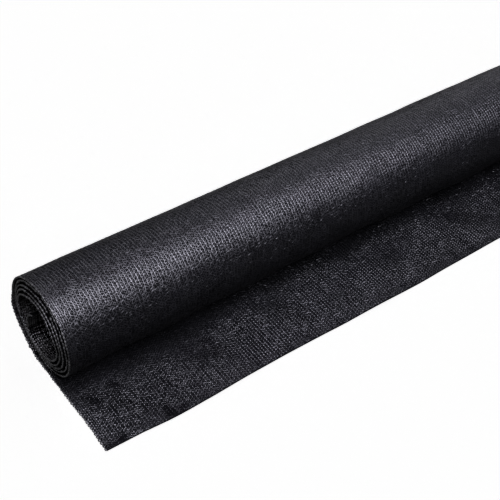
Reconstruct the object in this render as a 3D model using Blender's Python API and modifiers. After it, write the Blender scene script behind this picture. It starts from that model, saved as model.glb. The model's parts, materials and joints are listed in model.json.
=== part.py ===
"""Roll of knitted shade cloth with its outer end lying loose in front of it.

The cloth is one piece. It is cut flat as a grid, and each point of the grid is then
carried to its place: along the floor, up round the back of the roll, over the top,
down the front, and so on inwards to the free end inside the hollow middle.
The roll lies along X, the loose end points to -Y, and the floor is Z = 0.
"""

import math
from typing import NamedTuple

import bmesh
import bpy

MM = 0.001

# Driving dimensions
CLOTH_WIDTH = 1000 * MM
CLOTH_THICKNESS = 1.6 * MM
ROLL_HEIGHT = 99 * MM
LOOSE_END = 111 * MM  # from under the roll's axis to the front edge
FLAT_SPOT = 10 * MM  # how far the cloth stays on the floor behind the axis

# How far each turn lies inside the one before it, on the four sides of the roll
STEP_AT_TOP = 5.2 * MM
STEP_AT_FRONT = 4.2 * MM
STEP_AT_BOTTOM = 3.8 * MM
STEP_AT_BACK = 2.6 * MM

# Places along the winding, counted in turns from under the roll's axis
LIFTED_OFF = 0.12  # the cloth has left the flat spot and follows the roll
TAIL_START = 5.0  # the inner end leaves the wall of the hollow middle

# How finely the cloth is divided
STATIONS_ACROSS = 17
LOOSE_END_STEPS = 8
STEPS_PER_TURN = 22

CLOTH_COLOUR = (0.012, 0.012, 0.014, 1.0)
CLOTH_ROUGHNESS = 0.45

MIDDLE = CLOTH_THICKNESS / 2
START_RADIUS = (ROLL_HEIGHT - CLOTH_THICKNESS + STEP_AT_TOP / 2) / 2


class Winding(NamedTuple):
    """The oval that the cloth follows at a number of turns, as its middle surface."""

    turn: float
    half_width: float
    half_height: float
    centre_y: float
    centre_z: float


class Slip(NamedTuple):
    """How far a turn lies to the right of the loose end."""

    turn: float
    right: float


class Ripple(NamedTuple):
    """A soft lift of the loose end that runs from the roll to the front edge."""

    place: float  # along X from the left selvage
    width: float
    lift: float


TAIL = (
    Winding(5.20, 21.0 * MM, 22.0 * MM, 2.0 * MM, 41.0 * MM),
    Winding(5.42, 17.0 * MM, 19.0 * MM, 2.0 * MM, 41.0 * MM),
)

SLIPS = (
    Slip(0.00, 0.0 * MM),
    Slip(0.60, 3.0 * MM),
    Slip(1.00, 3.0 * MM),
    Slip(3.00, 1.4 * MM),
    Slip(5.42, -0.5 * MM),
)

RIPPLES = (
    Ripple(125 * MM, 125 * MM, 1.6 * MM),
    Ripple(312 * MM, 125 * MM, 2.2 * MM),
    Ripple(500 * MM, 125 * MM, 1.4 * MM),
    Ripple(750 * MM, 190 * MM, 2.4 * MM),
)
RIPPLE_START = 30 * MM  # the cloth under the roll is pressed flat as far as this
SURFACE_WAVE = 0.5 * MM  # unevenness of the turns along the roll
SURFACE_WAVELENGTH = 430 * MM
EDGE_WAVE = 1.2 * MM  # how far the front edge and the line of lift-off wander
EDGE_WAVELENGTH = 260 * MM


def wall_at(turn):
    """The oval of the wound cloth, which shrinks steadily with the number of turns."""
    return Winding(
        turn,
        START_RADIUS - turn * (STEP_AT_BACK + STEP_AT_FRONT) / 2,
        START_RADIUS - turn * (STEP_AT_TOP + STEP_AT_BOTTOM) / 2,
        turn * (STEP_AT_FRONT - STEP_AT_BACK) / 2,
        MIDDLE + START_RADIUS - turn * (STEP_AT_TOP - STEP_AT_BOTTOM) / 2,
    )


def blend_rows(rows, turn):
    """The values of a table's rows at any number of turns between its first and last."""
    for before, after in zip(rows, rows[1:]):
        if turn <= after.turn:
            share = (turn - before.turn) / (after.turn - before.turn)
            return type(before)(*(a + (b - a) * share for a, b in zip(before, after)))
    return rows[-1]


def winding_at(turn):
    """The oval at any number of turns, on the wound wall or on the tail inside it."""
    if turn <= TAIL_START:
        return wall_at(turn)
    return blend_rows((wall_at(TAIL_START), *TAIL), turn)


def flat_spot_end():
    """The number of turns at which the cloth starts to rise from the floor."""
    return math.asin(FLAT_SPOT / START_RADIUS) / math.tau


def ripple_lift(along_x, from_axis):
    """How far the loose end is lifted off the floor at one point."""
    reach = (from_axis - RIPPLE_START) / (LOOSE_END - RIPPLE_START)
    if reach <= 0:
        return 0.0
    lift = 0.0
    for ripple in RIPPLES:
        off = abs(along_x - ripple.place) / (ripple.width / 2)
        if off < 1:
            lift += ripple.lift * math.cos(off * math.pi / 2) ** 2
    return lift * math.sin(reach * math.pi * 0.75)


def floor_point(along_x, from_axis):
    """A point of the cloth on the floor, at its distance in front of the roll's axis."""
    wander = EDGE_WAVE * math.sin(math.tau * along_x / EDGE_WAVELENGTH)
    y = -from_axis - wander * max(from_axis / LOOSE_END, 0)
    if from_axis < 0:
        y -= wander
    return along_x, y, MIDDLE + ripple_lift(along_x, from_axis)


def wound_point(along_x, turn):
    """A point of the wound cloth, at its number of turns from under the axis."""
    oval = winding_at(turn)
    angle = turn * math.tau
    phase = math.tau * along_x / SURFACE_WAVELENGTH
    wave = SURFACE_WAVE * math.sin(phase + 0.5) * min(turn, 1)
    y = oval.centre_y + (oval.half_width + wave) * math.sin(angle)
    z = oval.centre_z - (oval.half_height - wave) * math.cos(angle)
    if turn < LIFTED_OFF:
        lifted = (turn - flat_spot_end()) / (LIFTED_OFF - flat_spot_end())
        z = MIDDLE + (z - MIDDLE) * lifted
    return along_x + blend_rows(SLIPS, turn).right, y, z


def path_rows():
    """The rows of points from the front edge inwards, each as its place function and place."""
    rows = []
    for step in range(LOOSE_END_STEPS + 1):
        rows.append((floor_point, LOOSE_END * (1 - step / LOOSE_END_STEPS)))
    rows.append((floor_point, -FLAT_SPOT))
    first = math.ceil(flat_spot_end() * STEPS_PER_TURN)
    last = math.floor(TAIL[-1].turn * STEPS_PER_TURN)
    for step in range(first, last + 1):
        rows.append((wound_point, step / STEPS_PER_TURN))
    return rows


def roll_up(name):
    """Cuts the cloth flat as a grid and rolls it up."""
    rows = path_rows()
    mesh = bpy.data.meshes.new(name)
    cloth = bpy.data.objects.new(name, mesh)
    flat = bmesh.new()
    bmesh.ops.create_grid(
        flat, x_segments=STATIONS_ACROSS - 1, y_segments=len(rows) - 1, size=0.5
    )
    for point in flat.verts:
        place_point, place = rows[round((point.co.y + 0.5) * (len(rows) - 1))]
        along_x = CLOTH_WIDTH * (point.co.x + 0.5)
        point.co = place_point(along_x, place)
    bmesh.ops.recalc_face_normals(flat, faces=flat.faces)
    flat.to_mesh(mesh)
    flat.free()
    mesh.shade_smooth()
    return cloth


def give_thickness(cloth):
    """Thickens the sheet to both sides of its middle surface and closes its edges."""
    body = cloth.modifiers.new("Thickness", "SOLIDIFY")
    body.thickness = CLOTH_THICKNESS
    body.offset = 0
    body.use_even_offset = True
    body.use_rim = True


def centre_on_floor(cloth):
    """Puts the origin on the floor under the middle of the cloth's box."""
    xs = [point.co.x for point in cloth.data.vertices]
    ys = [point.co.y for point in cloth.data.vertices]
    cloth.location = (-(min(xs) + max(xs)) / 2, -(min(ys) + max(ys)) / 2, 0)


def shade_cloth_material():
    """Black knitted polyethylene with a soft sheen."""
    material = bpy.data.materials.new("black_knit")
    material.use_nodes = True
    shader = material.node_tree.nodes["Principled BSDF"]
    shader.inputs["Base Color"].default_value = CLOTH_COLOUR
    shader.inputs["Roughness"].default_value = CLOTH_ROUGHNESS
    shader.inputs["Metallic"].default_value = 0.0
    return material


def main():
    """Clears the scene and makes the roll."""
    for old in list(bpy.data.objects):
        bpy.data.objects.remove(old)
    collection = bpy.data.collections.new("shade_cloth_roll")
    bpy.context.scene.collection.children.link(collection)
    cloth = roll_up("shade_cloth")
    collection.objects.link(cloth)
    cloth.data.materials.append(shade_cloth_material())
    give_thickness(cloth)
    centre_on_floor(cloth)


main()
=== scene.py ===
"""Dressed model of a partly unrolled roll of black knitted shade cloth.

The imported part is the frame. The cloth follows the same winding as that solid, in finer
steps, and carries its knit as real stitches where it shows. A place on the cloth is given
by "across", from the left selvage, and "along", from the front edge inwards.
"""

from __future__ import annotations

import json
import logging
import math
from dataclasses import dataclass, field, replace
from enum import Enum

import bpy
import numpy as np
from bpy.types import Collection, Material, NodeSocket, Object, ShaderNode
from mathutils import Matrix, Vector

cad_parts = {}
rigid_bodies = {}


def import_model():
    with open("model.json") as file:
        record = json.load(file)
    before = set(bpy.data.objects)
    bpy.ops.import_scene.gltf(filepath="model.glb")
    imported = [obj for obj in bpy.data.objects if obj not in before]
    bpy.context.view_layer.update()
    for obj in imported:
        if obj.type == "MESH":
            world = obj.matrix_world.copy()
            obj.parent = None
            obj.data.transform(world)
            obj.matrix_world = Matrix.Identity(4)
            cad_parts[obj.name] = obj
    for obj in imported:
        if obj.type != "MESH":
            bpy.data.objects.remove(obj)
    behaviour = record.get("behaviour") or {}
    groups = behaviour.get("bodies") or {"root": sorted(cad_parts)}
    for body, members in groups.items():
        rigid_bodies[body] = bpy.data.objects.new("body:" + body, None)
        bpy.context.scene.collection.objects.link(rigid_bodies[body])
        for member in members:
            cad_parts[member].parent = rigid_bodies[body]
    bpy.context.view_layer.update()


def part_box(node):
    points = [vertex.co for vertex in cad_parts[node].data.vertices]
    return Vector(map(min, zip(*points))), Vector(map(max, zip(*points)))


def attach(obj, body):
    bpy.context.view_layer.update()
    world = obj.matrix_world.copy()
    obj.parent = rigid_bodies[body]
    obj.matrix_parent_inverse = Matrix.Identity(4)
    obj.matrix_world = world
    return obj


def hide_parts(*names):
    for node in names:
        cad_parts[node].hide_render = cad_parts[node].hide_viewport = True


Range = tuple[float, float]
Row = tuple[float, ...]
Colour = tuple[float, float, float, float]
Array = np.ndarray

LOG = logging.getLogger("shade_cloth")
MM = 0.001
SEED = 7
PLACE = "cloth_place"  # the mesh attribute that holds across, along and a stitch's own number
TAPE_SEED = 100  # added to a patch's seed for its tapes


class Side(Enum):
    """A face of the cloth, by the sign of the way in which it looks from the middle."""

    UPPER = 1  # on top of the loose end, and inside the roll
    LOWER = -1  # under the loose end, and outside the roll


@dataclass(frozen=True)
class Oval:
    """The oval that the middle of the cloth follows at a number of turns."""

    turn: float
    half_width: float
    half_height: float
    centre_y: float
    centre_z: float


@dataclass(frozen=True)
class Ripple:
    """A soft lift of the loose end that runs from the roll to the front edge."""

    place: float
    width: float
    lift: float


@dataclass
class Winding:
    """The way that the cloth takes from its front edge to its inner end."""

    height: float = 99 * MM
    allowance: float = 1.6 * MM  # the cloth with its stitches
    loose_end: float = 111 * MM
    flat_spot: float = 10 * MM
    step_at_top: float = 5.2 * MM  # how far each turn lies inside the one before it
    step_at_front: float = 4.2 * MM
    step_at_bottom: float = 3.8 * MM
    step_at_back: float = 2.6 * MM
    lifted_off: float = 0.12  # turns at which the cloth has left the flat spot
    tail_start: float = 5.0  # turns at which the inner end leaves the wall
    tail: tuple[Oval, ...] = (
        Oval(5.20, 21.0 * MM, 22.0 * MM, 2.0 * MM, 41.0 * MM),
        Oval(5.42, 17.0 * MM, 19.0 * MM, 2.0 * MM, 41.0 * MM),
    )
    floor_samples: int = 60
    turn_samples: int = 3000
    turn: Array = field(init=False)
    y: Array = field(init=False)
    z: Array = field(init=False)
    along: Array = field(init=False)
    slope_y: Array = field(init=False)
    slope_z: Array = field(init=False)

    def __post_init__(self) -> None:
        """Works out the line of the cloth's middle and how far along the cloth it runs."""
        floor = np.linspace(-self.loose_end, self.flat_spot, self.floor_samples)
        turns = np.linspace(self.flat_spot_end, self.tail[-1].turn, self.turn_samples)
        wound = np.array([self.wound_point(turn) for turn in turns[1:]])
        self.turn = np.concatenate([np.zeros(len(floor)), turns[1:]])
        self.y = np.concatenate([floor, wound[:, 0]])
        self.z = np.concatenate([np.full(len(floor), self.middle), wound[:, 1]])
        steps = np.hypot(np.diff(self.y), np.diff(self.z))
        self.along = np.concatenate([[0.0], np.cumsum(steps)])
        self.slope_y = np.gradient(self.y, self.along)
        self.slope_z = np.gradient(self.z, self.along)

    @property
    def middle(self) -> float:
        """Height of the cloth's middle where it lies on the floor."""
        return self.allowance / 2

    @property
    def start_radius(self) -> float:
        """Radius of the oval at no turns, from which each turn steps inwards."""
        return (self.height - self.allowance + self.step_at_top / 2) / 2

    @property
    def flat_spot_end(self) -> float:
        """The number of turns at which the cloth starts to rise from the floor."""
        return math.asin(self.flat_spot / self.start_radius) / math.tau

    @property
    def length(self) -> float:
        """The cloth's whole length when it is laid out flat."""
        return float(self.along[-1])

    def along_at_turn(self, turn: float) -> float:
        """How far along the cloth a number of turns is.

        Args:
            turn: Turns round the roll, counted from under its axis.

        Returns:
            The distance from the front edge, in metres.
        """
        wound = self.turn > 0
        return float(np.interp(turn, self.turn[wound], self.along[wound]))

    def wall_at(self, turn: float) -> Oval:
        """The oval of the wound cloth, which shrinks steadily with the turns.

        Args:
            turn: Turns round the roll.

        Returns:
            The oval that the cloth follows there.
        """
        return Oval(
            turn,
            self.start_radius - turn * (self.step_at_back + self.step_at_front) / 2,
            self.start_radius - turn * (self.step_at_top + self.step_at_bottom) / 2,
            turn * (self.step_at_front - self.step_at_back) / 2,
            self.middle + self.start_radius - turn * (self.step_at_top - self.step_at_bottom) / 2,
        )

    def oval_at(self, turn: float) -> Oval:
        """The oval on the wound wall, or on the tail that stands inside it.

        Args:
            turn: Turns round the roll.

        Returns:
            The oval, blended between its neighbours on the tail.
        """
        if turn <= self.tail_start:
            return self.wall_at(turn)
        rows = (self.wall_at(self.tail_start), *self.tail)
        turns = [row.turn for row in rows]
        blended = [
            float(np.interp(turn, turns, [getattr(row, name) for row in rows]))
            for name in ("half_width", "half_height", "centre_y", "centre_z")
        ]
        return Oval(turn, *blended)

    def wound_point(self, turn: float) -> tuple[float, float]:
        """The middle of the wound cloth at a number of turns.

        Args:
            turn: Turns round the roll.

        Returns:
            Y from the roll's axis and Z from the floor.
        """
        oval = self.oval_at(turn)
        angle = turn * math.tau
        y = oval.centre_y + oval.half_width * math.sin(angle)
        z = oval.centre_z - oval.half_height * math.cos(angle)
        if turn < self.lifted_off:
            lifted = (turn - self.flat_spot_end) / (self.lifted_off - self.flat_spot_end)
            z = self.middle + (z - self.middle) * lifted
        return y, z


@dataclass
class SoftNoise:
    """A smooth random field over the cloth, made of a few sine waves, with a spread of one."""

    size: float
    seed: int
    waves: int = 14
    size_range: Range = (0.7, 1.8)  # of the waves, as shares of the size

    def at(self, across: Array, along: Array) -> Array:
        """The field's value at places on the cloth.

        Args:
            across: Places across the cloth.
            along: Places along the cloth.

        Returns:
            The values, mostly between -2 and 2.
        """
        rng = np.random.default_rng(SEED + self.seed)
        total = 0.0
        for _ in range(self.waves):
            heading, phase = rng.uniform(0, math.tau, 2)
            step = math.tau / (self.size * rng.uniform(*self.size_range))
            place = across * math.cos(heading) + along * math.sin(heading)
            total = total + np.sin(step * place + phase)
        return total * math.sqrt(2 / self.waves)


@dataclass(frozen=True)
class SoftZone:
    """A stretch of cloth, with soft borders, where the knit is raised or flattened."""

    across: float
    along: float
    reach_across: float
    reach_along: float
    strength: float

    def at(self, across: Array, along: Array) -> Array:
        """How strongly the zone acts at places on the cloth.

        Args:
            across: Places across the cloth.
            along: Places along the cloth.

        Returns:
            The shares, 0 far from the zone.
        """
        off = ((across - self.across) / self.reach_across) ** 2
        off = off + ((along - self.along) / self.reach_along) ** 2
        return self.strength * np.exp(-off)


@dataclass
class Relief:
    """How strongly the knit stands out, by place: soft blotches and where it is pressed."""

    blotches: SoftNoise = field(default_factory=lambda: SoftNoise(55 * MM, 11))
    blotch_strength: float = 0.12
    line_reach: float = 80 * MM  # the pressed line by the corner runs this far across
    line_inset: float = 7.0 * MM
    line_width: float = 1.1 * MM
    line_depth: float = 0.9  # the share of the relief that the line takes away
    hem: float = 8.0 * MM  # the knit is flatter this close to the front edge
    hem_relief: float = 0.65
    ribbed: tuple[SoftZone, ...] = ()  # where the chains stand up as ribs
    flattened: tuple[SoftZone, ...] = ()  # where the stitches lie flatter, or fuller below 0
    limits: Range = (0.05, 1.8)

    def ribs(self, across: Array, along: Array) -> Array:
        """The factor by which the chains stand above their usual height."""
        return 1 + sum(zone.at(across, along) for zone in self.ribbed)

    def at(self, across: Array, along: Array) -> Array:
        """The factor on the height of the stitches.

        Args:
            across: Places across the cloth.
            along: Places along the cloth.

        Returns:
            The factors, around 1.
        """
        factor = 1 + self.blotch_strength * self.blotches.at(across, along)
        factor = factor * (1 - sum(zone.at(across, along) for zone in self.flattened))
        reached = np.clip(across / max(self.line_reach, MM), 0, 1)
        place = self.line_inset * np.sin(math.pi * reached)
        pressed = np.exp(-(((along - place) / self.line_width) ** 2)) * (reached < 1)
        factor = factor * np.where(along < self.hem, self.hem_relief, 1.0)
        return np.clip(factor * (1 - self.line_depth * pressed), *self.limits)


@dataclass
class ClothSurface:
    """Where each place on the cloth lies, with its ripples, waves and slipped turns."""

    winding: Winding
    left: float  # X of the left selvage
    axis_y: float  # Y of the roll's axis
    width: float = 1000 * MM
    ripples: tuple[Ripple, ...] = (
        Ripple(125 * MM, 125 * MM, 1.6 * MM),
        Ripple(312 * MM, 125 * MM, 2.2 * MM),
        Ripple(500 * MM, 125 * MM, 1.4 * MM),
        Ripple(750 * MM, 190 * MM, 2.4 * MM),
    )
    ripple_start: float = 30 * MM  # in front of the roll's axis
    ripple_fall: float = 0.75  # of a half wave, from there to the front edge
    wave: float = 0.5 * MM
    wavelength: float = 430 * MM
    wave_phase: float = 0.5
    dimple: float = 0.12 * MM
    lump: float = 0.8 * MM  # the roll's lower front bulges and dips this much
    lump_length: float = 95 * MM
    lump_phase: float = 1.0
    lump_turn: float = 0.88
    lump_height: float = 0.09
    crumple: SoftNoise = field(default_factory=lambda: SoftNoise(48 * MM, 21))
    flap_crumple: float = 0.22 * MM
    crumple_limits: Range = (-1.2, 1.5)
    turn_length: float = 0.3  # what the crumple takes as a turn's length, in metres
    edge_wave: float = 1.2 * MM  # how far the front edge wanders
    edge_wavelength: float = 260 * MM
    bow_places: Row = (0.03, 0.06, 0.11, 0.20, 0.35, 0.50)
    # how far the front edge stands forward there, in mm
    bow: Row = (0.0, 1.7, 2.5, 1.7, 1.1, 1.6)
    crest_places: Row = (0.00, 0.16, 0.20, 0.23, 0.27, 0.34, 0.42, 0.50)
    # how far the roll's top stands out there, in mm
    crest: Row = (-1.1, -1.2, 0.0, 0.9, 0.6, 0.0, -0.8, -1.0)
    crest_turn: float = 0.45
    crest_height: float = 0.10
    layer_noise: SoftNoise = field(default_factory=lambda: SoftNoise(50 * MM, 31))
    layer_jitter: float = 0.25 * MM  # how unevenly the inner layers lie on one another
    layer_limit: float = 0.5 * MM
    layer_start: float = 0.95  # turns at which that unevenness sets in
    layer_scale: float = 0.2  # under one, so that the unevenness is longer across
    layer_turn_length: float = 0.24
    layer_slip: float = 0.35 * MM  # how unevenly their edges stand at the ends
    slip_depth: float = 25 * MM
    slip_start: float = 0.5  # turns
    slip_turns: Row = (0.00, 0.10, 0.14, 0.22, 0.25, 0.28, 0.60, 1.00, 3.00, 5.42)
    # how far the cloth lies to the right there, in mm
    slips: Row = (0.0, 0.3, -0.4, -1.1, 0.7, 1.4, 3.0, 3.0, 1.4, -0.5)
    corner_pull: float = 0.8 * MM  # the front corners are drawn out sideways this far
    corner_reach: float = 30 * MM

    def lift_of_ripples(self, across: Array, from_axis: Array) -> Array:
        """How far the loose end is lifted off the floor.

        Args:
            across: Places across the cloth.
            from_axis: Distances in front of the roll's axis.

        Returns:
            The lift at each place, in metres.
        """
        reach = (from_axis - self.ripple_start) / (self.winding.loose_end - self.ripple_start)
        reach = np.clip(reach, 0, 1)
        lift = np.zeros_like(across)
        for ripple in self.ripples:
            off = np.clip(np.abs(across - ripple.place) / (ripple.width / 2), 0, 1)
            lift += ripple.lift * np.cos(off * math.pi / 2) ** 2
        lowest, highest = self.crumple_limits
        crumple = np.clip(self.crumple.at(across, from_axis), lowest, highest) - lowest
        crumple = self.flap_crumple * crumple * np.clip(reach * 3, 0, 1)  # full from a third on
        return lift * np.sin(reach * math.pi * self.ripple_fall) + crumple

    def unevenness(self, across: Array, turn: Array) -> Array:
        """How far the wound cloth stands out from its even oval.

        Args:
            across: Places across the cloth.
            turn: Turns round the roll at the same places.

        Returns:
            The distance outwards, in metres.
        """
        wave = self.wave * np.sin(math.tau * across / self.wavelength + self.wave_phase)
        lumps = np.exp(-(((turn - self.lump_turn) / self.lump_height) ** 2))
        lumps = self.lump * lumps * np.sin(math.tau * across / self.lump_length + self.lump_phase)
        dimples = self.dimple * self.crumple.at(across, turn * self.turn_length)
        crest = MM * np.interp(across, self.crest_places, self.crest)
        crest = crest * np.exp(-(((turn - self.crest_turn) / self.crest_height) ** 2))
        inner = self.layer_noise.at(across * self.layer_scale, turn * self.layer_turn_length)
        inner = np.clip(self.layer_jitter * inner, -self.layer_limit, self.layer_limit)
        inner = inner * np.clip(2 * (turn - self.layer_start), 0, 1)
        # none on the floor, and full from half a turn on
        return (wave + lumps + dimples + crest + inner) * np.clip(turn * 2, 0, 1)

    def place(self, across: Array, along: Array, lift: Array) -> Array:
        """The points of the part's frame for places on the cloth.

        Args:
            across: Distances from the left selvage.
            along: Distances from the front edge.
            lift: Distances from the cloth's middle, positive on its upper side.

        Returns:
            The points, with X, Y and Z along the last axis.
        """
        across, along, lift = np.broadcast_arrays(across, along, lift)
        line = self.winding
        turn = np.interp(along, line.along, line.turn)
        y = np.interp(along, line.along, line.y)
        z = np.interp(along, line.along, line.z)
        slope_y = np.interp(along, line.along, line.slope_y)
        slope_z = np.interp(along, line.along, line.slope_z)
        steep = np.hypot(slope_y, slope_z)
        normal_y = -slope_z / steep
        normal_z = slope_y / steep
        height = lift - self.unevenness(across, turn)
        from_axis = np.where(turn > 0, 0.0, -y)
        wander = self.edge_wave * np.sin(math.tau * across / self.edge_wavelength)
        wander = wander + MM * np.interp(across, self.bow_places, self.bow)
        wander = wander * np.clip(from_axis / line.loose_end, 0, 1)
        inset = np.minimum(across, self.width - across)
        slip = self.layer_slip * self.layer_noise.at(self.width / 2, along)
        slip = slip * np.clip(4 * (turn - self.slip_start), 0, 1)
        slip = slip * np.clip(1 - inset / self.slip_depth, 0, 1)
        pulled = self.corner_pull * np.clip(1 - along / self.corner_reach, 0, 1)
        pulled = pulled * np.clip(1 - inset / self.corner_reach, 0, 1)
        pulled = pulled * np.where(across < self.width / 2, -1, 1)
        slip = slip + MM * np.interp(turn, self.slip_turns, self.slips)
        x = self.left + across + slip + pulled
        y = self.axis_y + y + normal_y * height - wander
        z = z + normal_z * height + self.lift_of_ripples(across, from_axis)
        return np.stack([x, y, z], axis=-1)


def grid_faces(rows: int, columns: int, first: int = 0, flip: bool = False) -> Array:
    """The quads of a grid of points that is stored row by row.

    Args:
        rows: Number of rows of points.
        columns: Number of points in a row.
        first: Index of the grid's first point.
        flip: Whether the faces look the other way.

    Returns:
        One row of four point indices for each quad.
    """
    index = first + np.arange(rows * columns).reshape(rows, columns)
    corners = [index[:-1, :-1], index[:-1, 1:], index[1:, 1:], index[1:, :-1]]
    if flip:
        corners = corners[::-1]
    return np.stack(corners, axis=-1).reshape(-1, 4)


def mesh_piece(
    name: str, points: Array, quads: Array, places: Array, flat_faces: int = 0
) -> Object:
    """Makes a smooth mesh object with the place on the cloth stored at each point.

    Args:
        name: The piece's name.
        points: Points in the part's frame.
        quads: Four point indices for each face.
        places: Across, along and the stitch's own number for each point.
        flat_faces: How many faces at the end of the list are flat, with a crisp border.

    Returns:
        The new object, linked to the scene.
    """
    mesh = bpy.data.meshes.new(name)
    mesh.vertices.add(len(points))
    mesh.vertices.foreach_set("co", points.astype(np.float32).ravel())
    mesh.loops.add(quads.size)
    mesh.loops.foreach_set("vertex_index", quads.astype(np.int32).ravel())
    mesh.polygons.add(len(quads))
    mesh.polygons.foreach_set("loop_start", np.arange(0, quads.size, 4, dtype=np.int32))
    mesh.update(calc_edges=True)
    mesh.polygons.foreach_set("use_smooth", np.arange(len(quads)) < len(quads) - flat_faces)
    stored = mesh.attributes.new(PLACE, "FLOAT_VECTOR", "POINT")
    stored.data.foreach_set("vector", places.astype(np.float32).ravel())
    piece = bpy.data.objects.new(name, mesh)
    bpy.context.scene.collection.objects.link(piece)
    return piece


@dataclass
class KnitBoard:
    """A small helper that adds shader nodes to one material and joins them."""

    material: Material

    def node(self, kind: str, **settings: object) -> ShaderNode:
        """Adds a node and sets its properties.

        Args:
            kind: The node's type name.
            **settings: Properties of the node.

        Returns:
            The new node.
        """
        made = self.material.node_tree.nodes.new(kind)
        for name, value in settings.items():
            setattr(made, name, value)
        return made

    def join(self, source: object, target: object) -> None:
        """Feeds a socket, or a plain value, into another socket.

        Args:
            source: The socket or value.
            target: The socket that takes it.
        """
        if isinstance(source, NodeSocket):
            self.material.node_tree.links.new(source, target)
        else:
            target.default_value = source

    def maths(self, operation: str, first: object, second: object = 0.0) -> NodeSocket:
        """A Math node.

        Args:
            operation: The operation's name.
            first: The first number or socket.
            second: The second number or socket.

        Returns:
            The result's socket.
        """
        made = self.node("ShaderNodeMath", operation=operation)
        self.join(first, made.inputs[0])
        self.join(second, made.inputs[1])
        return made.outputs[0]

    def spread(self, value: object, low: float, high: float) -> NodeSocket:
        """Maps 0 to 1 onto a range.

        Args:
            value: The number or socket to map.
            low: The result at 0.
            high: The result at 1.

        Returns:
            The result's socket.
        """
        made = self.node("ShaderNodeMapRange")
        self.join(value, made.inputs["Value"])
        made.inputs["To Min"].default_value = low
        made.inputs["To Max"].default_value = high
        return made.outputs["Result"]

    def noise(self, place: object, size: float, detail: float = 2.0) -> NodeSocket:
        """A Noise texture in cloth coordinates.

        Args:
            place: The socket with the place on the cloth, in metres.
            size: The size of a blotch, in metres.
            detail: Levels of finer noise.

        Returns:
            The noise's strength socket.
        """
        made = self.node("ShaderNodeTexNoise")
        self.join(place, made.inputs["Vector"])
        made.inputs["Scale"].default_value = 1 / size
        made.inputs["Detail"].default_value = detail
        return made.outputs["Fac"]


@dataclass(frozen=True)
class YarnFinish:
    """Black polyethylene yarn or tape, a little uneven in tone and gloss."""

    name: str
    dark: Colour = (0.0003, 0.0003, 0.0004, 1.0)
    light: Colour = (0.0011, 0.0011, 0.0015, 1.0)
    roughness: Range = (0.34, 0.55)
    shine: float = 0.10
    tint: Colour = (0.93, 0.92, 1.0, 1.0)
    blotch: float = 30 * MM
    crinkle: float = 0.6 * MM
    crinkle_depth: float = 0.08 * MM
    own_share: float = 0.5  # how much a stitch's own number counts in its tone
    blotch_range: Range = (-0.3, 0.8)

    def make(self) -> Material:
        """Builds the material with its nodes.

        Returns:
            The material.
        """
        material = bpy.data.materials.new(self.name)
        material.use_nodes = True
        board = KnitBoard(material)
        shader = material.node_tree.nodes["Principled BSDF"]
        place = board.node("ShaderNodeAttribute", attribute_name=PLACE)
        flat = board.node("ShaderNodeVectorMath", operation="MULTIPLY")
        board.join(place.outputs["Vector"], flat.inputs[0])
        flat.inputs[1].default_value = (1.0, 1.0, 0.0)
        parts = board.node("ShaderNodeSeparateXYZ")
        board.join(place.outputs["Vector"], parts.inputs[0])
        own = parts.outputs["Z"]
        blotches = board.noise(flat.outputs[0], self.blotch)
        own_part = board.maths("MULTIPLY", own, self.own_share)
        mixed = board.maths("ADD", own_part, board.spread(blotches, *self.blotch_range))
        tone = board.node("ShaderNodeMix", data_type="RGBA")
        board.join(mixed, tone.inputs["Factor"])
        tone.inputs["A"].default_value = self.dark
        tone.inputs["B"].default_value = self.light
        board.join(tone.outputs["Result"], shader.inputs["Base Color"])
        gloss = board.maths("MULTIPLY", board.maths("ADD", own, blotches), 0.5)
        board.join(board.spread(gloss, *self.roughness), shader.inputs["Roughness"])
        shader.inputs["Specular IOR Level"].default_value = self.shine
        shader.inputs["Specular Tint"].default_value = self.tint
        bump = board.node("ShaderNodeBump")
        bump.inputs["Distance"].default_value = self.crinkle_depth
        board.join(self.relief(board, flat.outputs[0], parts), bump.inputs["Height"])
        board.join(bump.outputs["Normal"], shader.inputs["Normal"])
        return material

    def relief(self, board: KnitBoard, place: NodeSocket, parts: ShaderNode) -> NodeSocket:
        """The fine crinkle of the yarn.

        Args:
            board: The node helper of the material.
            place: The socket with the place on the cloth.
            parts: The node that gives across and along as numbers; not used here.

        Returns:
            The socket of the height, from 0 to about 1.
        """
        return board.noise(place, self.crinkle, 1.0)


@dataclass(frozen=True)
class GroundFinish(YarnFinish):
    """The ground of the cloth, with the knit drawn in relief where no stitches stand on it."""

    roughness: Range = (0.5, 0.7)
    shine: float = 0.01
    crinkle_depth: float = 0.4 * MM
    wale: float = 3.3 * MM
    course: float = 2.8 * MM
    chain_height: float = 0.35  # how strongly each shows in the relief
    bead_height: float = 0.12
    crinkle_height: float = 0.25

    def relief(self, board: KnitBoard, place: NodeSocket, parts: ShaderNode) -> NodeSocket:
        """The relief of chains and their stitches, with the crinkle.

        Args:
            board: The node helper of the material.
            place: The socket with the place on the cloth.
            parts: The node that gives across and along as numbers.

        Returns:
            The socket of the height, from 0 to about 1.
        """
        across = board.maths("MULTIPLY", parts.outputs["X"], math.tau / self.wale)
        along = board.maths("MULTIPLY", parts.outputs["Y"], math.tau / self.course)
        chain = board.maths("ADD", board.maths("COSINE", across), 1.0)
        chain = board.maths("MULTIPLY", chain, self.chain_height)
        bead = board.maths("MULTIPLY", board.maths("COSINE", along), self.bead_height)
        crinkle = board.noise(place, self.crinkle, 1.0)
        crinkle = board.maths("MULTIPLY", crinkle, self.crinkle_height)
        return board.maths("ADD", board.maths("ADD", chain, bead), crinkle)


@dataclass(frozen=True)
class StitchShape:
    """Half widths and heights at places along one stitch, as shares from one waist to the next."""

    places: Row
    half_widths: Row
    heights: Row

    @property
    def rows(self) -> int:
        """How many rows of points a stitch has."""
        return len(self.places)


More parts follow.
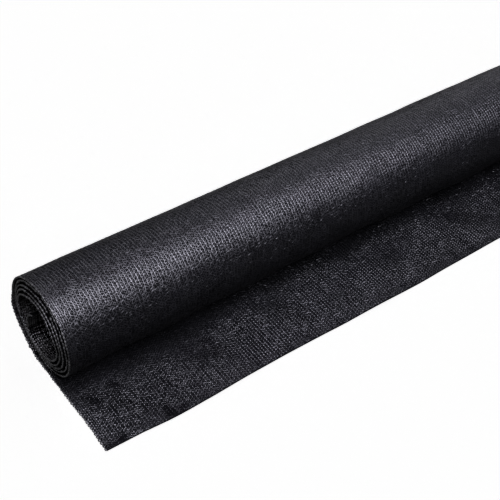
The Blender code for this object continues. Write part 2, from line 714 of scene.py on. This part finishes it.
@dataclass(frozen=True)
class Knit:
    """How the knit looks from one side of the cloth."""

    stitch: StitchShape
    tape_width: Range  # at the chains and between them
    tape_lift: Range
    tape_tilt: float
    tape_ruffle: float
    chain_finish: YarnFinish
    tape_finish: YarnFinish


FACE_KNIT = Knit(
    stitch=StitchShape(
        (0.0, 0.17, 0.40),
        (0.32 * MM, 0.56 * MM, 0.70 * MM),
        (-0.16 * MM, 0.28 * MM, 0.50 * MM),
    ),
    tape_width=(0.3 * MM, 0.8 * MM),
    tape_lift=(0.01 * MM, 0.12 * MM),
    tape_tilt=0.10 * MM,
    tape_ruffle=0.05 * MM,
    chain_finish=YarnFinish(
        "black_face_chain", roughness=(0.28, 0.46), shine=0.22, crinkle_depth=0.04 * MM
    ),
    tape_finish=YarnFinish("black_face_tape", roughness=(0.40, 0.62), shine=0.15),
)
# The face knit again, but with a far lighter base colour: painted light, so that the ends and the
# hollow middle show the end light more strongly than the black yarn would.
PAINTED_LIGHT_INSIDE_KNIT = replace(
    FACE_KNIT,
    chain_finish=YarnFinish(
        "inside_chain_painted_light",
        dark=(0.002, 0.002, 0.002, 1.0),
        light=(0.019, 0.018, 0.019, 1.0),
        roughness=(0.3, 0.5),
        shine=0.22,
    ),
    tape_finish=YarnFinish(
        "inside_tape_painted_light",
        dark=(0.001, 0.001, 0.001, 1.0),
        light=(0.010, 0.010, 0.010, 1.0),
        roughness=(0.4, 0.6),
        shine=0.12,
    ),
)
BACK_KNIT = Knit(
    stitch=StitchShape((0.0, 0.45), (0.36 * MM, 0.68 * MM), (0.02 * MM, 0.42 * MM)),
    tape_width=(0.5 * MM, 1.0 * MM),
    tape_lift=(0.03 * MM, 0.20 * MM),
    tape_tilt=0.09 * MM,
    tape_ruffle=0.05 * MM,
    chain_finish=YarnFinish(
        "black_back_chain",
        roughness=(0.36, 0.52),
        shine=0.22,
        crinkle=1.2 * MM,
        crinkle_depth=0.10 * MM,
    ),
    tape_finish=YarnFinish("black_back_tape", roughness=(0.42, 0.60), shine=0.14, crinkle=1.2 * MM),
)


@dataclass
class KnitPatch:
    """A stretch of knit on one side of the cloth: chains of stitches and laid-in tapes."""

    name: str
    side: Side
    start: float  # along the cloth
    end: float
    knit: Knit
    wales: Array
    ground: float  # half the thickness of the ground under the knit
    course: float = 2.8 * MM
    stagger: float = 0.62  # how much later each chain starts than the one before, in courses
    stitch_spread: float = 0.13  # how much the stitches differ in size
    tallest: float = 1.3  # the most that a stitch stands up without ribs, in heights of its shape
    wobble: float = 0.12 * MM
    ragged: float = 0.3 * MM  # how unevenly the chains start
    drift: float = 0.16 * MM  # how much one stitch is longer or shorter than the next
    sunk: float = 0.12 * MM
    rib_lift: float = 0.40 * MM  # how much higher the chains stand in a ribbed zone of strength one
    cut_slope: float = 0.8 * MM
    widest_gap: float = 3.6 * MM  # tapes cross no gap between chains wider than this
    tape_spread: float = 0.12  # how much the tapes differ in width and place
    tape_rise: Range = (0.5, 1.3)  # and in lift
    tape_floor: float = 0.01 * MM
    tape_relief: float = 1.2  # the highest factor that the relief puts on their lift
    relief: Relief = field(default_factory=Relief)
    seed: int = 1

    @property
    def courses(self) -> int:
        """How many rows of stitches the patch holds."""
        return max(1, round((self.end - self.start) / self.course)) + 1

    def chains(self, surface: ClothSurface) -> Object:
        """Knits the chains, each a ridge of bellied stitches.

        Args:
            surface: The cloth that they lie on.

        Returns:
            The piece.
        """
        rng = np.random.default_rng(SEED + self.seed)
        stitch = self.knit.stitch
        steps = stitch.rows
        rows = steps * self.courses + 1
        wales = len(self.wales)
        course, step = np.divmod(np.arange(rows), steps)
        each = (wales, self.courses + 1)
        size = rng.normal(1, self.stitch_spread, each)[:, course]
        half = np.array(stitch.half_widths)[step] * size
        height = np.array(stitch.heights)[step] * size
        shift = rng.normal(0, self.wobble, each)[:, course]
        along = (course + np.array(stitch.places)[step]) * self.course
        late = (np.arange(wales) * self.stagger % 1 - 1) * self.course
        late = late + rng.uniform(-1, 1, wales) * self.ragged
        strayed = np.cumsum(rng.normal(0, self.drift, each), axis=1)
        along = along[None, :] + late[:, None] + strayed[:, course]
        uncut = np.clip(along / self.cut_slope, 0, 1)
        along = self.start + np.clip(along, 0, None)
        across = self.wales[:, None] + shift
        height = height * uncut * self.relief.at(across, along)
        height = np.clip(height, None, self.tallest * max(stitch.heights))
        height = height + self.rib_lift * (self.relief.ribs(across, along) - 1) * uncut
        own = rng.random(each)[:, course]
        feet = np.array([-1.0, 0.0, 1.0])
        lift = self.ground + height[:, :, None] * (1 - np.abs(feet)) - self.sunk * np.abs(feet)
        across = across[:, :, None] + half[:, :, None] * feet
        name = f"{self.name}_chains"
        return ridges(name, surface, self.side, across, along[:, :, None], lift, own[:, :, None])

    def tapes(self, surface: ClothSurface) -> Object:
        """Lays the tapes to and fro between neighbouring chains, pinched at each chain.

        Args:
            surface: The cloth that they lie on.

        Returns:
            The piece.
        """
        rng = np.random.default_rng(SEED + self.seed + TAPE_SEED)
        spacing = np.diff(self.wales)
        crossed = spacing < self.widest_gap
        left = self.wales[:-1][crossed][:, None, None, None]
        width = spacing[crossed][:, None, None, None]
        gaps, crossings = len(left), 2 * self.courses
        one = (gaps, crossings, 1, 1)
        step = np.arange(crossings)[None, :, None, None]
        station = np.array([0.0, 0.5, 1.0])[None, None, :, None]
        edge = np.array([-0.5, 0.5])[None, None, None, :]
        middle = 1 - np.abs(2 * station - 1)
        leaning = np.where(step % 2, 1.0, -1.0)
        pinched, wide = self.knit.tape_width
        tape = pinched + (wide - pinched) * middle * rng.normal(1, self.tape_spread, one)
        tape = tape / self.relief.ribs(left + width / 2, self.start + step * self.course / 2)
        late = rng.uniform(0, self.ragged, (gaps, 1, 1, 1))
        along = step + 0.5 + rng.normal(0, self.tape_spread, one)
        along = self.start + late + along * self.course / 2
        along = along + leaning * (station - 0.5) * self.course / 2 + edge * tape
        across = left + width * station + 0 * along
        low, high = self.knit.tape_lift
        lift = low + (high - low) * middle * rng.uniform(*self.tape_rise, one)
        lift = lift + rng.normal(0, self.knit.tape_tilt, one) * edge * 2 * middle
        lift = lift + rng.normal(0, self.knit.tape_ruffle, across.shape) * (0.3 + middle)
        relief = np.clip(self.relief.at(across, along), 0, self.tape_relief)
        relief = relief / self.relief.ribs(across, along)
        lift = np.clip(lift * relief, self.tape_floor, None)
        own = np.broadcast_to(rng.random(one), across.shape)
        points = surface.place(across, along, (self.ground + lift) * self.side.value)
        places = np.stack([across, along, own], axis=-1)
        quads = grid_faces(3, 2, flip=self.side is Side.UPPER)
        first = 6 * np.arange(gaps * crossings)[:, None, None]
        faces = (quads + first).reshape(-1, 4)
        return mesh_piece(
            f"{self.name}_tapes", points.reshape(-1, 3), faces, places.reshape(-1, 3), len(faces)
        )


def ridges(
    name: str,
    surface: ClothSurface,
    side: Side,
    across: Array,
    along: Array,
    lift: Array,
    own: Array,
) -> Object:
    """Joins rows of points into one strip for each chain.

    Args:
        name: The piece's name.
        surface: The cloth that they lie on.
        side: The side of the cloth that they stand on.
        across: Places across, by chain, row and point.
        along: Places along, by chain, row and point.
        lift: Heights over the cloth's middle.
        own: Each stitch's own number.

    Returns:
        The piece.
    """
    across, along, lift, own = np.broadcast_arrays(across, along, lift, own)
    chains, rows, columns = across.shape
    points = surface.place(across, along, lift * side.value).reshape(-1, 3)
    places = np.stack([across, along, own], axis=-1).reshape(-1, 3)
    quads = grid_faces(rows, columns, flip=side is Side.LOWER)
    first = np.arange(chains)[:, None, None] * rows * columns
    return mesh_piece(name, points, (quads + first).reshape(-1, 4), places)


@dataclass
class SelvageCord:
    """The beaded cord that the last stitches make round both side edges of the cloth."""

    half_height: float = 0.95 * MM
    lowest: float = -0.72 * MM  # keeps the cord off the floor
    reach: float = 0.8 * MM
    angles: Row = (-125.0, -70.0, 0.0, 70.0, 125.0)  # round the edge, in degrees
    course: float = 3.6 * MM
    plump: Row = (0.25, 0.90, 1.10, 0.75)  # at equal steps along a stitch
    spread: float = 0.28  # how much the beads differ in size
    stray: float = 0.12 * MM  # how far the beads lie out of line
    seed: int = 50
    # A far lighter base colour than the same yarn elsewhere: painted light, so that the beaded
    # edges show the end light more strongly than the black yarn would.
    finish: YarnFinish = YarnFinish(
        "cord_painted_light", (0.001, 0.001, 0.001, 1.0), (0.010, 0.010, 0.010, 1.0), (0.38, 0.58), 0.15
    )

    def build(self, surface: ClothSurface) -> list[Object]:
        """Makes the cord of both edges.

        Args:
            surface: The cloth that they edge.

        Returns:
            The two pieces.
        """
        rng = np.random.default_rng(SEED + self.seed)
        stitches = round(surface.winding.length / self.course)
        steps = len(self.plump)
        row = np.arange(stitches * steps + 1)
        turned = np.radians(self.angles)
        pieces = []
        for name, edge, way in (("left", 0.0, -1.0), ("right", surface.width, 1.0)):
            size = rng.normal(1, self.spread, stitches + 1)[row // steps]
            plump = (np.array(self.plump)[row % steps] * size)[None, :, None]
            strayed = rng.normal(0, self.stray, stitches + 1)[row // steps][None, :, None]
            across = edge + way * self.reach * np.cos(turned) * plump + strayed
            lift = -way * self.half_height * np.sin(turned) * plump
            lift = np.clip(lift, self.lowest, None)
            along = (row / row[-1] * surface.winding.length)[None, :, None]
            own = rng.random(stitches + 1)[row // steps][None, :, None]
            name = f"{name}_selvage_cord"
            pieces.append(ridges(name, surface, Side.UPPER, across, along, lift, own))
        return pieces


@dataclass
class ShadeCloth:
    """The whole cloth: its ground, and the knit that stands on it where it shows."""

    surface: ClothSurface
    ground_thickness: float = 0.6 * MM
    wale: float = 3.3 * MM
    selvage_width: float = 10 * MM
    selvage_wale: float = 2.0 * MM
    ground_step_across: float = 12 * MM
    ground_step_along: float = 5.0 * MM
    end_depth: float = 45 * MM  # how far into the hollow middle the knit is made
    front_inset: float = 0.7 * MM  # the stitches start this far behind the front edge
    outside_turns: Range = (0.06, 1.0)  # where the knit covers the roll
    top_turn: float = 0.47  # near the roll's top, where the ribs stand up
    inside_start: float = 4.0  # turns from which the inner face shows at the ends
    rim_turns: Range = (0.05, 0.5)  # where the outer turn shows its inner face
    rim_wales: int = 5  # how many chains show there

    @property
    def wales(self) -> Array:
        """Where the chains run across the cloth, closer together in both selvages.

        Returns:
            The places across, in metres.
        """
        width = self.surface.width
        band = np.arange(0.5 * self.selvage_wale, self.selvage_width, self.selvage_wale)
        inner = band[-1] + self.wale
        count = round((width - 2 * inner) / self.wale)
        body = np.linspace(inner, width - inner, count + 1)
        return np.concatenate([band, body, width - band[::-1]])

    def ground(self) -> Object:
        """Makes the closed sheet under the stitches.

        Returns:
            The piece.
        """
        surface = self.surface
        columns = round(surface.width / self.ground_step_across) + 1
        rows = round(surface.winding.length / self.ground_step_along) + 1
        across = np.linspace(0, surface.width, columns)[None, :]
        along = np.linspace(0, surface.winding.length, rows)[:, None]
        half = self.ground_thickness / 2
        upper = surface.place(across, along, half).reshape(-1, 3)
        lower = surface.place(across, along, -half).reshape(-1, 3)
        size = rows * columns
        rim = np.concatenate(
            [
                np.arange(columns),
                np.arange(1, rows) * columns + columns - 1,
                size - 2 - np.arange(columns - 1),
                (np.arange(rows - 2, 0, -1)) * columns,
            ]
        )
        after = np.roll(rim, -1)
        walls = np.stack([rim, rim + size, after + size, after], axis=-1)
        quads = np.concatenate(
            [grid_faces(rows, columns), grid_faces(rows, columns, size, True), walls]
        )
        one = np.stack(np.broadcast_arrays(across, along, 0.5), axis=-1).reshape(-1, 3)
        points, places = np.concatenate([upper, lower]), np.concatenate([one, one])
        return mesh_piece("shade_cloth_ground", points, quads, places, len(walls))

    def patches(self) -> list[KnitPatch]:
        """The stretches of knit that show.

        Returns:
            The patches: the loose end, the outside of the roll, and both ends of its middle.
        """
        winding = self.surface.winding
        half = self.ground_thickness / 2
        wales = self.wales
        flat = (self.front_inset, winding.loose_end + winding.flat_spot)
        outside = [winding.along_at_turn(turn) for turn in self.outside_turns]
        flap = Relief(
            ribbed=(SoftZone(178 * MM, 22 * MM, 22 * MM, 16 * MM, 0.8),),
            flattened=(
                SoftZone(75 * MM, 72 * MM, 95 * MM, 24 * MM, 0.58),
                SoftZone(116 * MM, 14 * MM, 28 * MM, 28 * MM, 0.32),
                SoftZone(4 * MM, 4 * MM, 14 * MM, 12 * MM, 0.5),
                SoftZone(36 * MM, 36 * MM, 24 * MM, 11 * MM, -0.45),
                SoftZone(390 * MM, 28 * MM, 60 * MM, 14 * MM, -0.30),
            ),
        )
        top = winding.along_at_turn(self.top_turn)
        ribs = (
            SoftZone(70 * MM, top, 110 * MM, 27 * MM, 0.23),
            SoftZone(500 * MM, top, 1500 * MM, 27 * MM, 0.12),
        )
        half_way = len(wales) // 2
        roll = KnitPatch(
            "roll_left",
            Side.LOWER,
            *outside,
            BACK_KNIT,
            wales[: half_way + 1],
            half,
            stitch_spread=0.27,
            wobble=0.26 * MM,
            ragged=1.4 * MM,
            relief=Relief(hem=0, line_reach=0, ribbed=ribs),
            seed=2,
        )
        inside = (winding.along_at_turn(self.inside_start), winding.length)
        rising = [winding.along_at_turn(turn) for turn in self.rim_turns]
        rim = wales[: self.rim_wales]
        left_end = wales[wales < self.end_depth]
        right_end = wales[wales > self.surface.width - self.end_depth]
        return [
            KnitPatch("loose_end", Side.UPPER, *flat, FACE_KNIT, wales, half, relief=flap, seed=1),
            roll,
            replace(roll, name="roll_right", wales=wales[half_way:], seed=5),
            KnitPatch("left_inside", Side.UPPER, *inside, PAINTED_LIGHT_INSIDE_KNIT, left_end, half, seed=3),
            KnitPatch("left_inside_rim", Side.UPPER, *rising, PAINTED_LIGHT_INSIDE_KNIT, rim, half, seed=6),
            KnitPatch("right_inside", Side.UPPER, *inside, PAINTED_LIGHT_INSIDE_KNIT, right_end, half, seed=4),
        ]

    def build(self) -> list[Object]:
        """Makes the ground and its knit, and dresses them.

        Returns:
            The pieces, the ground first.
        """
        ground = self.ground()
        ground.data.materials.append(GroundFinish("black_ground").make())
        made = {
            finish.name: finish.make()
            for knit in (FACE_KNIT, BACK_KNIT, PAINTED_LIGHT_INSIDE_KNIT)
            for finish in (knit.chain_finish, knit.tape_finish)
        }
        pieces = [ground]
        for patch in self.patches():
            chains, tapes = patch.chains(self.surface), patch.tapes(self.surface)
            chains.data.materials.append(made[patch.knit.chain_finish.name])
            tapes.data.materials.append(made[patch.knit.tape_finish.name])
            pieces += [chains, tapes]
        cord = SelvageCord()
        finish = cord.finish.make()
        for piece in cord.build(self.surface):
            piece.data.materials.append(finish)
            pieces.append(piece)
        return pieces


@dataclass(frozen=True)
class FloorFinish:
    """Plain pale floor, lit evenly of its own so that it stays white."""

    colour: Colour = (0.8, 0.8, 0.8, 1.0)
    roughness: float = 0.9
    shine: float = 0.1
    glow: float = 0.93

    def make(self) -> Material:
        """Builds the floor's material.

        Returns:
            The material.
        """
        material = bpy.data.materials.new("pale_floor")
        material.use_nodes = True
        shader = material.node_tree.nodes["Principled BSDF"]
        shader.inputs["Base Color"].default_value = self.colour
        shader.inputs["Roughness"].default_value = self.roughness
        shader.inputs["Specular IOR Level"].default_value = self.shine
        shader.inputs["Emission Color"].default_value = (1.0, 1.0, 1.0, 1.0)
        shader.inputs["Emission Strength"].default_value = self.glow
        return material


class Lit(Enum):
    """What a soft light shines on."""

    CLOTH = "lit_cloth"
    END = "lit_end"


@dataclass(frozen=True)
class Softbox:
    """A square soft light that faces the shown part of the cloth."""

    name: str
    way: tuple[float, float, float]  # from the cloth to the light
    distance: float
    size: float
    power: float
    lit: Lit = Lit.CLOTH


@dataclass
class Studio:
    """Pale floor, soft light and the camera at the photo's angle."""

    foot: Vector  # on the floor under the roll's axis, at its left end
    camera_offset: Vector = field(default_factory=lambda: Vector((-0.2680, -0.5893, 0.7807)))
    azimuth: float = math.radians(40.26)  # the way that the camera looks, from +Y to +X
    elevation: float = math.radians(44.47)
    tilt: float = math.radians(5.16)
    lens: float = 79.34  # in mm
    sensor_width: float = 36.0
    floor_size: float = 60.0
    light_colour: tuple[float, float, float] = (0.965, 0.96, 1.0)
    light_aim: Vector = field(default_factory=lambda: Vector((0.14, 0.0, 0.05)))  # from the foot
    sky: float = 0.08
    contrast: float = 0.75  # the view's gamma, under one for deeper blacks
    softboxes: tuple[Softbox, ...] = (
        Softbox("key_softbox", (0.03, -0.37, 0.85), 1.6, 1.3, 430.0),
        Softbox("back_softbox", (0.60, 0.57, 0.56), 2.0, 1.5, 60.0),
        Softbox("end_softbox", (-0.66, -0.36, 0.66), 1.3, 0.8, 90.0, Lit.END),
        Softbox("rib_softbox", (-0.26, 0.72, 0.62), 1.6, 0.6, 28.0),
        Softbox("right_softbox", (0.92, 0.10, 0.38), 2.2, 1.0, 120.0, Lit.END),
    )

    def add_floor(self) -> None:
        half = self.floor_size / 2
        mesh = bpy.data.meshes.new("studio_floor")
        corners = [(-half, -half, 0), (half, -half, 0), (half, half, 0), (-half, half, 0)]
        mesh.from_pydata(corners, [], [(0, 1, 2, 3)])
        mesh.materials.append(FloorFinish().make())
        floor = bpy.data.objects.new("studio_floor", mesh)
        bpy.context.scene.collection.objects.link(floor)

    def add_camera(self) -> None:
        """Adds the camera where the photo's was, and makes it the scene's."""
        data = bpy.data.cameras.new("studio_camera")
        data.lens = self.lens
        data.sensor_width = self.sensor_width
        east, north = math.sin(self.azimuth), math.cos(self.azimuth)
        reach = math.cos(self.elevation)
        ahead = Vector((east * reach, north * reach, -math.sin(self.elevation)))
        level = Vector((north, -east, 0.0))
        upward = level.cross(ahead)
        right = math.cos(self.tilt) * level + math.sin(self.tilt) * upward
        top = math.cos(self.tilt) * upward - math.sin(self.tilt) * level
        camera = bpy.data.objects.new("studio_camera", data)
        turned = Matrix((right, top, -ahead)).transposed().to_4x4()
        camera.matrix_world = Matrix.Translation(self.foot + self.camera_offset) @ turned
        bpy.context.scene.collection.objects.link(camera)
        bpy.context.scene.camera = camera

    def add_light(self, lit: dict[Lit, Collection]) -> None:
        """Adds the sky, and the soft lights that light the cloth but not the floor.

        Args:
            lit: The pieces that each kind of soft light shines on.
        """
        world = bpy.data.worlds.new("studio_sky")
        world.use_nodes = True
        sky = world.node_tree.nodes["Background"]
        sky.inputs["Color"].default_value = (1.0, 1.0, 1.0, 1.0)
        sky.inputs["Strength"].default_value = self.sky
        bpy.context.scene.world = world
        for box in self.softboxes:
            data = bpy.data.lights.new(box.name, "AREA")
            data.shape = "SQUARE"
            data.size = box.size
            data.energy = box.power
            data.color = self.light_colour
            light = bpy.data.objects.new(box.name, data)
            way = Vector(box.way).normalized()
            light.location = self.foot + self.light_aim + way * box.distance
            light.rotation_mode = "QUATERNION"
            light.rotation_quaternion = way.to_track_quat("Z", "Y")
            light.light_linking.receiver_collection = lit[box.lit]
            bpy.context.scene.collection.objects.link(light)

    def build(self, pieces: list[Object]) -> None:
        """Sets up the whole studio.

        Args:
            pieces: The cloth's pieces, which the soft lights shine on.
        """
        lit = {kind: bpy.data.collections.new(kind.value) for kind in Lit}
        for piece in pieces:
            lit[Lit.CLOTH].objects.link(piece)
            if "inside" in piece.name or "cord" in piece.name:
                lit[Lit.END].objects.link(piece)
        self.add_floor()
        self.add_camera()
        self.add_light(lit)
        view = bpy.context.scene.view_settings
        view.view_transform = "Standard"
        view.look = "None"
        view.gamma = self.contrast


def clear_start_scene() -> None:
    """Removes what a new scene comes with."""
    for old in list(bpy.data.objects):
        bpy.data.objects.remove(old)


def main() -> None:
    """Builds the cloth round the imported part, and the studio round the cloth."""
    logging.basicConfig(level=logging.INFO, format="%(name)s: %(message)s")
    clear_start_scene()
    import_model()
    low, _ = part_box("shade_cloth")
    winding = Winding()
    axis_y = low.y + winding.loose_end + ClothSurface.edge_wave
    surface = ClothSurface(winding, left=low.x, axis_y=axis_y)
    cloth = ShadeCloth(surface)
    pieces = cloth.build()
    for piece in pieces:
        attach(piece, "root")
        LOG.info("%s: %d faces", piece.name, len(piece.data.polygons))
    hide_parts("shade_cloth")
    LOG.info("flat cloth: %.3f m wide, %.3f m long", surface.width, winding.length)
    Studio(foot=Vector((low.x, axis_y, 0.0))).build(pieces)


if __name__ == "__main__":
    main()
